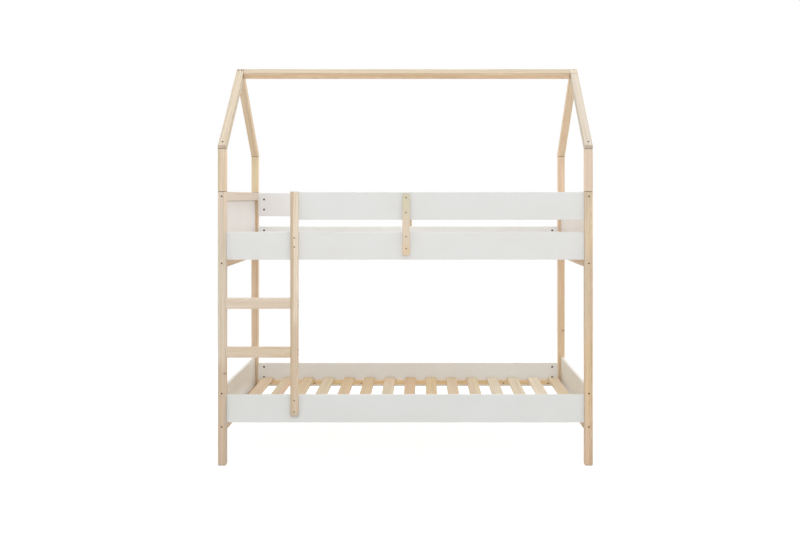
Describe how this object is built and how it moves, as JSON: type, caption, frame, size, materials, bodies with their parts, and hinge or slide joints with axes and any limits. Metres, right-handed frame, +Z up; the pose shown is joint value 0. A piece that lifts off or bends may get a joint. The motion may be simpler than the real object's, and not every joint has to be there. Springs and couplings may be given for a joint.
{
  "type": "bunk bed",
  "caption": "House-shaped bunk bed of pine posts and white boards, with a roof frame over the upper bunk, fall guards, slatted bases and a ladder built into its left front corner.",
  "frame": {"origin": "on the floor, in the middle of the footprint over the posts' outer faces", "axes": "+Z up; the ladder side faces -Y; +X to the right of someone in front of the ladder side"},
  "size_m": [2.07, 0.986, 2.2615],
  "materials": {
    "pine": "clear matt lacquer",
    "slat_pine": "planed, untreated",
    "white_board": "white satin lacquer on board",
    "webbing": "woven band",
    "screw_steel": "zinc-plated"
  },
  "bodies": {
    "root": {"post_front_left": "pine", "roof_post_front_left": "pine", "rafter_front_left": "pine", "post_back_left": "pine", "roof_post_back_left": "pine", "rafter_back_left": "pine", "end_top_rail_left": "pine", "end_bottom_rail_upper_left": "pine", "end_bottom_rail_lower_left": "pine", "end_panel_upper_left": "white_board", "end_panel_lower_left": "white_board", "post_front_right": "pine", "roof_post_front_right": "pine", "rafter_front_right": "pine", "post_back_right": "pine", "roof_post_back_right": "pine", "rafter_back_right": "pine", "end_top_rail_right": "pine", "end_bottom_rail_upper_right": "pine", "end_bottom_rail_lower_right": "pine", "end_panel_upper_right": "white_board", "end_panel_lower_right": "white_board", "ridge_beam": "pine", "side_rail_lower_front": "white_board", "slat_ledger_lower_front": "pine", "side_rail_upper_front": "white_board", "slat_ledger_upper_front": "pine", "guard_rail_front": "white_board", "guard_batten_front": "pine", "lower_slat_webbing_front": "webbing", "side_rail_lower_back": "white_board", "slat_ledger_lower_back": "pine", "side_rail_upper_back": "white_board", "slat_ledger_upper_back": "pine", "guard_rail_back": "white_board", "guard_batten_back": "pine", "lower_slat_webbing_back": "webbing", "ladder_stile": "pine", "ladder_rung_upper": "pine", "rung_screw_upper_high": "screw_steel", "rung_screw_upper_low": "screw_steel", "ladder_rung_lower": "pine", "rung_screw_lower_high": "screw_steel", "rung_screw_lower_low": "screw_steel", "lower_slat_01": "slat_pine", "lower_slat_02": "slat_pine", "lower_slat_03": "slat_pine", "lower_slat_04": "slat_pine", "lower_slat_05": "slat_pine", "lower_slat_06": "slat_pine", "lower_slat_07": "slat_pine", "lower_slat_08": "slat_pine", "lower_slat_09": "slat_pine", "lower_slat_10": "slat_pine", "lower_slat_11": "slat_pine", "lower_slat_12": "slat_pine", "lower_slat_13": "slat_pine", "lower_slat_14": "slat_pine", "lower_slat_15": "slat_pine", "upper_slat_base": "slat_pine"}
  },
  "joints": []
}
